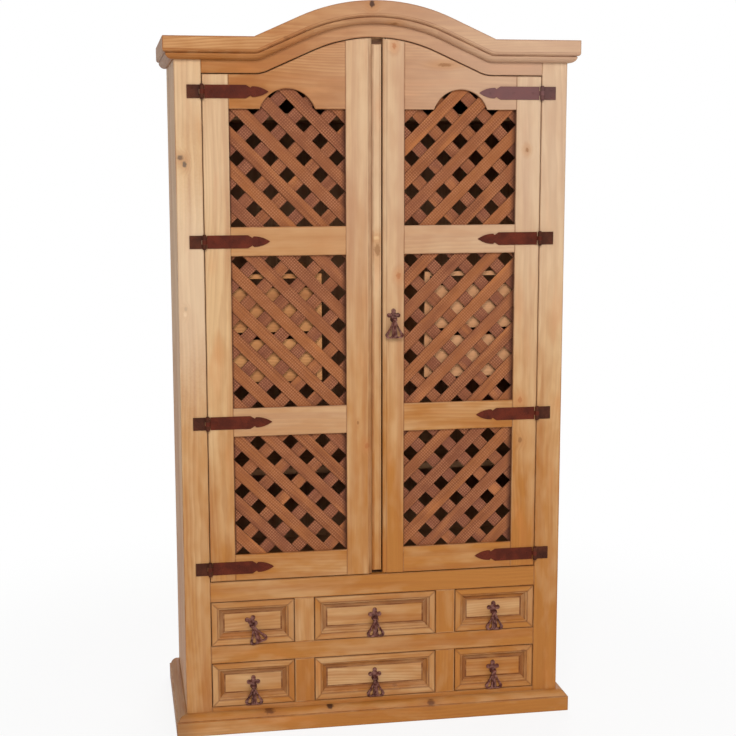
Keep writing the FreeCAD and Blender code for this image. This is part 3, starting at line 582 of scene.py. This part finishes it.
# one dressed piece from a CAD node: every solid merged, its edges eased and its grain laid
def dressNode(nodeName, look):
    node = frame["nodes"][nodeName]
    whole = bmesh.new()
    dice = Random(nodeName)
    for run in closedRuns(node.data):
        board = takeBoard(node.data, run)
        placeLayer = board.loops.layers.float_vector.new("boardPlace")
        warmthLayer = board.faces.layers.float.new("boardWarmth")
        rubHighlightLayer = board.faces.layers.float.new("rubHighlightMark")
        shadeLayer = board.loops.layers.float.new("creaseMark")
        unshadedLayer = board.verts.layers.float.new("unshaded")
        if "prepare" in look:
            for face in look["prepare"](board):
                for vertex in face.verts:
                    vertex[unshadedLayer] = 1.0
        axes = boardAxes(board, look.get("grain"))
        centre = sum((vertex.co for vertex in board.verts), Vector()) / len(board.verts)
        if "stave" in look:
            glueUp(board, centre, axes[1], look["stave"])
        for face in easeEdges(board, look["ease"]):
            face[rubHighlightLayer] = 1.0
        shift = 0.0
        if "rearWarmth" in look and centre.y > sum(corner[1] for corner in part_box(nodeName)) / 2:
            shift = look["rearWarmth"] - look["warmth"]
        board.normal_update()
        staves = {}
        for face in board.faces:
            face.smooth = True
            across = (face.calc_center_median() - centre).dot(axes[1])
            stave = int(across // look.get("stave", joinery["unglued"]))
            if stave not in staves:
                staves[stave] = freshWood(dice, look)
            start, tone = staves[stave]
            face[warmthLayer] = tone + shift - (look["paler"](face) if "paler" in look else 0.0)
            if frontness(face) > facing["proud"]:  # painted highlight: a proud face takes the rub colour as its edges do
                face[rubHighlightLayer] = max(face[rubHighlightLayer], look.get("proud", 0.0))
            eased = face[rubHighlightLayer] > 0.5
            for loop in face.loops:
                away = loop.vert.co - centre
                loop[placeLayer] = start + Vector([away.dot(axis) for axis in axes])
                if "crease" in look:
                    unshaded = loop.vert[unshadedLayer] > 0.5
                    loop[shadeLayer] = look["crease"](loop.vert.co, face, unshaded, eased)
        made = bpy.data.meshes.new("board")
        board.to_mesh(made)
        board.free()
        whole.from_mesh(made)
        bpy.data.meshes.remove(made)
    return finishPiece(nodeName, whole, look, nodeName)


# turns a bmesh into a piece that rides on a body and may stand for a CAD node
def finishPiece(name, shape, look, nodeName=None):
    mesh = bpy.data.meshes.new(name + "Mesh")
    shape.to_mesh(mesh)
    shape.free()
    mesh.set_sharp_from_angle(angle=joinery["crisp"])
    piece = bpy.data.objects.new(name + ".look", mesh)
    scene.collection.objects.link(piece)
    mesh.materials.append(look["material"])
    even = piece.modifiers.new("evenShading", "WEIGHTED_NORMAL")
    even.keep_sharp = True
    body = look.get("body") or frame["nodes"][nodeName]["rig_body"]
    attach(piece, body)
    if nodeName:
        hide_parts(nodeName)
    return piece


pine = woodMaterial("waxedPine", finishes["pine"])
innerPine = woodMaterial("barePine", finishes["innerPine"])
drawerPine = woodMaterial("drawerPine", finishes["drawerPine"])
crownPine = woodMaterial("crownPine", finishes["crownPine"])
sidePine = woodMaterial("sidePine", finishes["sidePine"])
rackPine = woodMaterial("rackPine", finishes["rackPine"])
darkRack = woodMaterial("darkRack", finishes["darkRack"])
lathWood = woodMaterial("sawnLath", finishes["lathWood"])
strapIron, leafIron, pullIron = (ironMaterial(name, iron) for name, iron in irons.items())
print("materials ready:", len(bpy.data.materials))

# painted shade lies in a rim of this width round each front, in reveals and in grooves
paintedShade = {"width": 0.0032, "rim": 0.4, "reveal": 0.65, "least": 0.002, "mouldLeast": 0.02, "mouldRim": 0.5,
         "lathSide": 0.9, "shaded": 0.95, "groove": 0.42, "grooveReach": 0.05}


def rimmed(board, least=paintedShade["least"]):  # a narrow ring round each front face for the painted shade at its edges
    front = [face for face in board.faces if frontness(face) > facing["square"] and face.calc_area() > least]
    bmesh.ops.inset_region(board, faces=front, thickness=paintedShade["width"], use_even_offset=True)
    return front


def mouldRimmed(board):
    return rimmed(board, paintedShade["mouldLeast"])


# each of these says how much painted shade a point of a face takes
def mouldShade(point, face, unshaded, eased):  # painted shade: only the flat of a moulding darkens, along its two edges
    edge = frontness(face) > facing["mould"] or eased and frontness(face) > facing["side"]
    return paintedShade["mouldRim"] if edge and not unshaded else 0.0


# painted shade: a dark rim round each front face, darker on stile sides at the window edges
def rimShade(point, face, unshaded, eased):
    toWindow = min(abs(point.x - edge) for edge, reach in window["edges"])
    if abs(face.normal.x) > facing["square"] and toWindow < window["near"]:
        return paintedShade["reveal"]
    return paintedShade["rim"] if frontness(face) > facing["front"] and not unshaded else 0.0


def revealShade(point, face, unshaded, eased):  # painted shade, darker still on the edges that look into a window
    if abs(face.normal.y) < facing["side"] and abs(face.normal.z) > facing["side"]:
        return paintedShade["reveal"]
    return rimShade(point, face, unshaded, eased)


def shaded(point, face, unshaded, eased):  # painted shade on the front edges behind the arch
    return paintedShade["shaded"] if frontness(face) > facing["half"] else 0.0


def grooveShade(point, face, unshaded, eased):  # painted shade left of the meeting strip, none right of it
    if abs(face.normal.x) > facing["groove"] and abs(point.x) < paintedShade["grooveReach"]:
        return paintedShade["groove"] if point.x < 0 else 0.0
    return rimShade(point, face, unshaded, eased)


def lathSideShade(point, face, unshaded, eased):  # painted shade: the sides of a lath are darker than its face
    return paintedShade["lathSide"] if abs(face.normal.y) < facing["side"] else 0.0


# a drawer front: how deep its band, bead and panel lie behind its face, and how much painted shade each of
# them takes
drawerFace = {
    "front": -0.220, "band": 0.0028, "bead": 0.0056, "panel": 0.012, "near": 1e-4, "leastPanel": 0.01,
    "insets": (0.033, 0.005), "openPanel": 0.004, "panelShade": 0.85, "bandShade": 0.5, "quirkShade": 0.8,
    "beadShade": 0.2, "coveShade": 0.6, "upward": 0.4, "downward": 1.1,
}
unaged = {"back": 0.55, "drawerPanel": 0.45}


def drawerDepth(face):
    return face.calc_center_median().y - drawerFace["front"]


def onPanel(face, depth):
    return frontness(face) > facing["flat"] and depth > drawerFace["panel"] - drawerFace["near"]


def frontsAt(board, depth, least=0.0):
    fronts = [face for face in board.faces if frontness(face) > facing["square"] and face.calc_area() > least]
    return [face for face in fronts if abs(drawerDepth(face) - depth) < drawerFace["near"]]


def bordered(board):  # loops on the panel and the band that let the painted shade of the moulding fade out
    outer = frontsAt(board, 0.0)
    bmesh.ops.inset_region(board, faces=outer, thickness=paintedShade["width"], use_even_offset=True)
    sunk = frontsAt(board, drawerFace["panel"], drawerFace["leastPanel"])
    for thickness in drawerFace["insets"]:
        bmesh.ops.inset_region(board, faces=sunk, thickness=thickness, use_even_offset=True)
    return outer


def drawerShade(point, face, unshaded, eased):  # painted shade: dark in quirks and under the top member, light on the bottom member
    depth = point.y - drawerFace["front"]
    if onPanel(face, depth):
        return 0.0 if face.calc_area() > drawerFace["openPanel"] else drawerFace["panelShade"]
    if depth < drawerFace["band"] and frontness(face) > facing["front"]:
        return 0.0 if unshaded else drawerFace["bandShade"]
    share = 1.0
    if abs(face.normal.z) > facing["slant"]:
        share = drawerFace["upward" if face.normal.z > 0 else "downward"]
    if abs(face.normal.y) < facing["side"]:
        return drawerFace["quirkShade"] * share
    return drawerFace["beadShade" if depth < drawerFace["bead"] else "coveShade"] * share


def panelPale(face):  # the sunk panel of a drawer is lighter than its moulding
    return unaged["drawerPanel"] if onPanel(face, drawerDepth(face)) else 0.0


def backPale(face):  # the outward side of the back has not darkened
    return unaged["back"] if face.normal.y > facing["half"] else 0.0


# warmth 0 is pale wood, 1 is deep gold
# upright boards start paler than level ones: painted sheen
upright = {"material": pine, "slot": "pine", "ease": 0.0014, "warmth": 0.1}
level = {**upright, "warmth": 0.52}
stile = {**upright, "prepare": rimmed, "crease": rimShade}
rail = {**level, "prepare": rimmed, "crease": rimShade}
archRail = {**rail, "material": crownPine, "grain": (1, 0, 0)}
moulded = {**level, "prepare": mouldRimmed, "crease": mouldShade}
sidePanel = {**upright, "stave": 0.094, "spread": 0.16}
# inside boards: their deep warmth is painted shade
inside = {"material": innerPine, "slot": "inner_pine", "ease": 0.001, "warmth": 0.75}
wide = {**inside, "stave": 0.11}
plain = {**inside, "warmth": 0.25}  # paler, without the painted shade of the inside boards
racking = {**inside, "material": rackPine, "warmth": 0.3}
lathing = {"material": lathWood, "slot": "lattice_wood", "ease": 0.0010, "warmth": 0.22, "spread": 0.3,
           "rearWarmth": 0.75, "crease": lathSideShade}
drawer = {**level, "material": drawerPine, "ease": 0.0007, "warmth": 0.4, "prepare": bordered,
          "crease": drawerShade, "paler": panelPale}
forged = {"material": strapIron, "slot": "rusted_iron", "ease": 0.0005, "warmth": 0.5}
leaf = {**forged, "material": leafIron}
# pulls: a painted highlight on their proud front faces
pulling = {**forged, "material": pullIron, "ease": 0.0008, "proud": 0.49}

boards = {
    "left_side_panel": sidePanel,
    "right_side_panel": {**sidePanel, "material": sidePine},
    "face_stiles": stile,
    "arched_top_rail": {**archRail, "warmth": 0.85},
    "crown_front": {**moulded, "warmth": 0.54, "ease": 0.0018, "grain": (1, 0, 0)},
    "crown_returns": {**level, "material": crownPine, "warmth": 0.7, "grain": (0, 1, 0)},
    "plinth": moulded,
    "drawer_rails": rail,
    "drawer_mullions": stile,
    "case_top": {**plain, "stave": 0.11, "crease": shaded},
    "case_bottom": wide,
    "cupboard_floor": wide,
    "back_boards": {**inside, "paler": backPale},
    "drawer_runners": inside,
    "shelves": wide,
    "shelf_cleats": inside,
    "left_bottle_rack": {**racking, "material": darkRack},
    "right_bottle_rack": racking,
    "crown_block": plain,
    "hinge_frame_leaves": leaf,
    "hinge_pins": leaf,
    "left_door_meeting_strip": {**stile, "crease": grooveShade},
    "right_door_pull_plate": pulling,
    "right_door_pull_bail": pulling,
}
for side in ("left", "right"):
    boards[side + "_door_hinge_stile"] = stile
    boards[side + "_door_meeting_stile"] = {**stile, "warmth": 0.42, "crease": grooveShade}
    boards[side + "_door_top_rail"] = {**archRail, "warmth": 0.72, "crease": revealShade}
    boards[side + "_door_cross_rails"] = {**rail, "crease": revealShade}
    boards[side + "_door_lattice"] = lathing
    boards[side + "_door_hinge_straps"] = forged
for row in ("upper", "lower"):
    for column in ("left", "middle", "right"):
        name = row + "_" + column
        boards[name + "_drawer_front"] = drawer
        boards[name + "_drawer_box"] = plain
        boards[name + "_pull_plate"] = pulling
        boards[name + "_pull_bail"] = pulling

# knots and stains seen in the photograph, and patches of painted sheen and painted shade, by the board that
# carries them: kind, place, size and squeeze
standing, lying = (1.0, 0.2, 0.7), (0.7, 0.2, 1.0)
marks = {
    "crown_front": [("dark", (-0.014, -0.250, 2.050), 0.009, (1.0, 0.2, 0.8)),
                    ("brown", (-0.248, -0.240, 1.957), 0.006, (0.5, 0.2, 1.0)),
                    ("brown", (0.051, -0.240, 1.998), 0.005, (0.4, 0.2, 1.0))],
    "face_stiles": [("dark", (-0.537, -0.220, 1.638), 0.009, (0.9, 0.2, 1.0)),
                    ("dark", (-0.526, -0.220, 1.620), 0.007, standing),
                    ("pale", (-0.532, -0.220, 1.212), 0.006, standing),
                    ("brown", (-0.530, -0.220, 1.226), 0.005, standing),
                    ("sheenWash", (-0.532, -0.220, 1.28), 0.07, (1.0, 0.2, 0.55)),
                    ("sheenVeil", (-0.532, -0.220, 1.80), 0.03, (1.0, 0.2, 0.5))],
    "left_door_hinge_stile": [("sheenVeil", (-0.430, -0.220, 1.66), 0.03, (1.0, 0.2, 0.3))],
    "left_door_cross_rails": [("gold", (-0.230, -0.220, 1.427), 0.09, (0.5, 0.2, 1.0)),
                              ("sheenVeil", (-0.230, -0.220, 0.912), 0.06, (0.4, 0.2, 1.0))],
    "left_side_panel": [("stain", (-0.555, 0.100, 1.860), 0.007, (0.2, 1.0, 0.5)),
                        ("stain", (-0.555, 0.080, 1.040), 0.007, (0.2, 1.0, 0.5))],
    "left_door_meeting_strip": [("pale", (0.003, -0.216, 1.415), 0.007, lying),
                                ("brown", (0.006, -0.216, 1.381), 0.010, (1.0, 0.2, 0.45))],
    "right_door_meeting_stile": [("red", (0.053, -0.220, 1.941), 0.007, standing),
                                 ("red", (0.067, -0.220, 1.308), 0.008, standing)],
    "left_door_meeting_stile": [("red", (-0.024, -0.220, 0.823), 0.007, standing),
                                ("brown", (-0.050, -0.220, 0.891), 0.004, standing)],
    "right_door_top_rail": [("brown", (0.197, -0.220, 1.891), 0.006, (0.25, 0.2, 1.0))],
    "right_door_hinge_stile": [("brown", (0.436, -0.220, 1.658), 0.006, standing),
                               ("brown", (0.428, -0.220, 0.824), 0.007, standing),
                               ("red", (0.426, -0.220, 0.942), 0.008, standing)],
    "lower_right_drawer_front": [("brown", (0.448, -0.214, 0.184), 0.006, lying)],
    "lower_middle_drawer_front": [("brown", (0.060, -0.212, 0.100), 0.006, lying)],
    # painted shade on the left ends of the crown and the plinth
    "crown_returns": [("sideShade", (-0.58, 0.0, 1.93), 0.08, (4.0, 0.2, 0.6))],
    "plinth": [("sideShade", (-0.58, 0.0, 0.06), 0.08, (4.0, 0.2, 0.6)),
               ("stain", (-0.314, -0.250, 0.058), 0.011, (0.6, 0.2, 1.2)),
               ("dark", (-0.137, -0.240, 0.060), 0.009, lying),
               ("stain", (0.162, -0.240, 0.050), 0.010, lying)],
}
markedFinish = {"drawer_front": "drawerPine", "side_panel": "sidePine", "top_rail": "crownPine",
                "crown_front": "crownPine", "crown_returns": "crownPine"}
for nodeName, knots in marks.items():
    kinds = [kind for ending, kind in markedFinish.items() if nodeName.endswith(ending)]
    finish = finishes[kinds[0] if kinds else "pine"]
    boards[nodeName] = {**boards[nodeName], "material": woodMaterial(nodeName + "Pine", finish, knots)}

for nodeName, look in boards.items():
    dressNode(nodeName, look)
print("pieces dressed:", len(boards))

# low nail heads, half sunk in the hinge irons: three along a strap, two on a frame leaf
nails = {"radius": 0.0034, "flatness": 0.4, "sides": 14, "rings": 8, "front": -0.223,
         "strap": (0.450, 0.395, 0.325), "leaf": 0.5035, "leafSpread": (-0.010, 0.010)}


def hingeHeights():
    straps = frame["nodes"]["left_door_hinge_straps"].data
    for run in closedRuns(straps):
        levels = [straps.vertices[i].co.z for face in run for i in straps.polygons[face].vertices]
        yield (min(levels) + max(levels)) / 2


def driveNails(name, places, look, body):
    shape = bmesh.new()
    for across, height in places:
        head = bmesh.ops.create_uvsphere(shape, u_segments=nails["sides"], v_segments=nails["rings"],
                                         radius=nails["radius"])["verts"]
        bmesh.ops.scale(shape, vec=(1, nails["flatness"], 1), verts=head)
        bmesh.ops.translate(shape, vec=(across, nails["front"], height), verts=head)
    return finishPiece(name, shape, {**look, "body": body})


heights = list(hingeHeights())
strapPlaces = [(x, z) for x in nails["strap"] for z in heights]
leafPlaces = [(side * nails["leaf"], z + step)
              for side in (-1, 1) for step in nails["leafSpread"] for z in heights]
driveNails("left_strap_nails", [(-x, z) for x, z in strapPlaces], forged, "left_door")
driveNails("right_strap_nails", strapPlaces, forged, "right_door")
driveNails("leaf_nails", leafPlaces, leaf, "case")
print("nails driven:", 2 * len(strapPlaces) + len(leafPlaces))

studio = {
    "floor": paint(250, 250, 250), "floorReach": 6.0, "floorSides": 96, "floorRough": 0.9,
    "floorFade": (0.9, 2.2), "floorGlow": 0.85, "world": 0.3,
    "lamps": {
        "keyLamp": {"at": (-1.56, -5.98, 4.9), "aim": (0.0, 0.0, 1.0), "size": (2.1, 2.1), "power": 238},
        "skyLamp": {"at": (2.34, -6.5, 3.0), "aim": (0.0, 0.0, 1.2), "size": (3.9, 2.1), "power": 120},
        "rearLamp": {"at": (0.8, 5.0, 3.2), "aim": (0.0, 0.0, 1.0), "size": (3.0, 2.0), "power": 130},
    },
}


def seenRays(tree):  # 1 for the rays that show the backdrop, 0 for those that light the object
    rays = put(tree, "ShaderNodeLightPath").outputs
    seen = calc(tree, "MAXIMUM", rays["Is Camera Ray"], rays["Is Glossy Ray"])
    return calc(tree, "MAXIMUM", seen, rays["Is Transmission Ray"])


def makeFloor():
    shape = bmesh.new()
    bmesh.ops.create_circle(shape, cap_ends=True, segments=studio["floorSides"], radius=studio["floorReach"])
    mesh = bpy.data.meshes.new("floorMesh")
    shape.to_mesh(mesh)
    shape.free()
    floor = bpy.data.objects.new("floor", mesh)
    scene.collection.objects.link(floor)
    material, tree, shader = newMaterial("paleFloor")
    shader.inputs["Base Color"].default_value = studio["floor"]
    shader.inputs["Roughness"].default_value = studio["floorRough"]
    place = put(tree, "ShaderNodeTexCoord").outputs["Object"]
    reach = vectorCalc(tree, "LENGTH", place)["Value"]
    glow = fade(tree, reach, *studio["floorFade"], studio["floorGlow"], 1.0)
    share = calc(tree, "MULTIPLY", glow, seenRays(tree))
    white = put(tree, "ShaderNodeEmission", {"Color": (1, 1, 1, 1), "Strength": 1.0})
    joined = put(tree, "ShaderNodeMixShader", {0: share, 1: shader.outputs[0], 2: white.outputs[0]})
    tree.links.new(joined.outputs[0], tree.nodes["Material Output"].inputs["Surface"])
    mesh.materials.append(material)


def makeWorld():
    world = bpy.data.worlds.new("studioWorld")
    scene.world = world
    world.use_nodes = True
    tree = world.node_tree
    strength = calc(tree, "MULTIPLY_ADD", seenRays(tree), 1.0 - studio["world"], studio["world"])
    back = tree.nodes["Background"]
    back.inputs["Color"].default_value = (1, 1, 1, 1)
    tree.links.new(strength, back.inputs["Strength"])


def makeLamp(name, facts):
    lamp = bpy.data.lights.new(name, "AREA")
    lamp.shape = "RECTANGLE"
    lamp.size, lamp.size_y = facts["size"]
    lamp.energy = facts["power"]
    holder = bpy.data.objects.new(name, lamp)
    holder.location = facts["at"]
    holder.rotation_euler = (Vector(facts["aim"]) - Vector(facts["at"])).to_track_quat("-Z", "Y").to_euler()
    holder.visible_camera = False
    scene.collection.objects.link(holder)


makeFloor()
makeWorld()
for name, facts in studio["lamps"].items():
    makeLamp(name, facts)

# the photograph's viewpoint: left of the middle, at eye height, tipped a little down
shot = {"at": (-0.72834, -4.17999, 1.65563), "yaw": 0.176749, "pitch": 0.149925, "roll": -0.001283,
        "lens": 70.28, "sensor": 36.0}
yaw, pitch, roll = shot["yaw"], shot["pitch"], shot["roll"]
forward = Vector((sin(yaw) * cos(pitch), cos(yaw) * cos(pitch), -sin(pitch)))
rightward = Vector((cos(yaw), -sin(yaw), 0))
upward = rightward.cross(forward)
rolledRight = cos(roll) * rightward + sin(roll) * upward
rolledUp = -sin(roll) * rightward + cos(roll) * upward
turned = Matrix((rolledRight, rolledUp, -forward)).transposed()
camera = bpy.data.objects.new("camera", bpy.data.cameras.new("camera"))
camera.data.lens = shot["lens"]
camera.data.sensor_width = shot["sensor"]
camera.matrix_world = Matrix.Translation(shot["at"]) @ turned.to_4x4()
scene.collection.objects.link(camera)
scene.camera = camera
print("studio and camera set")
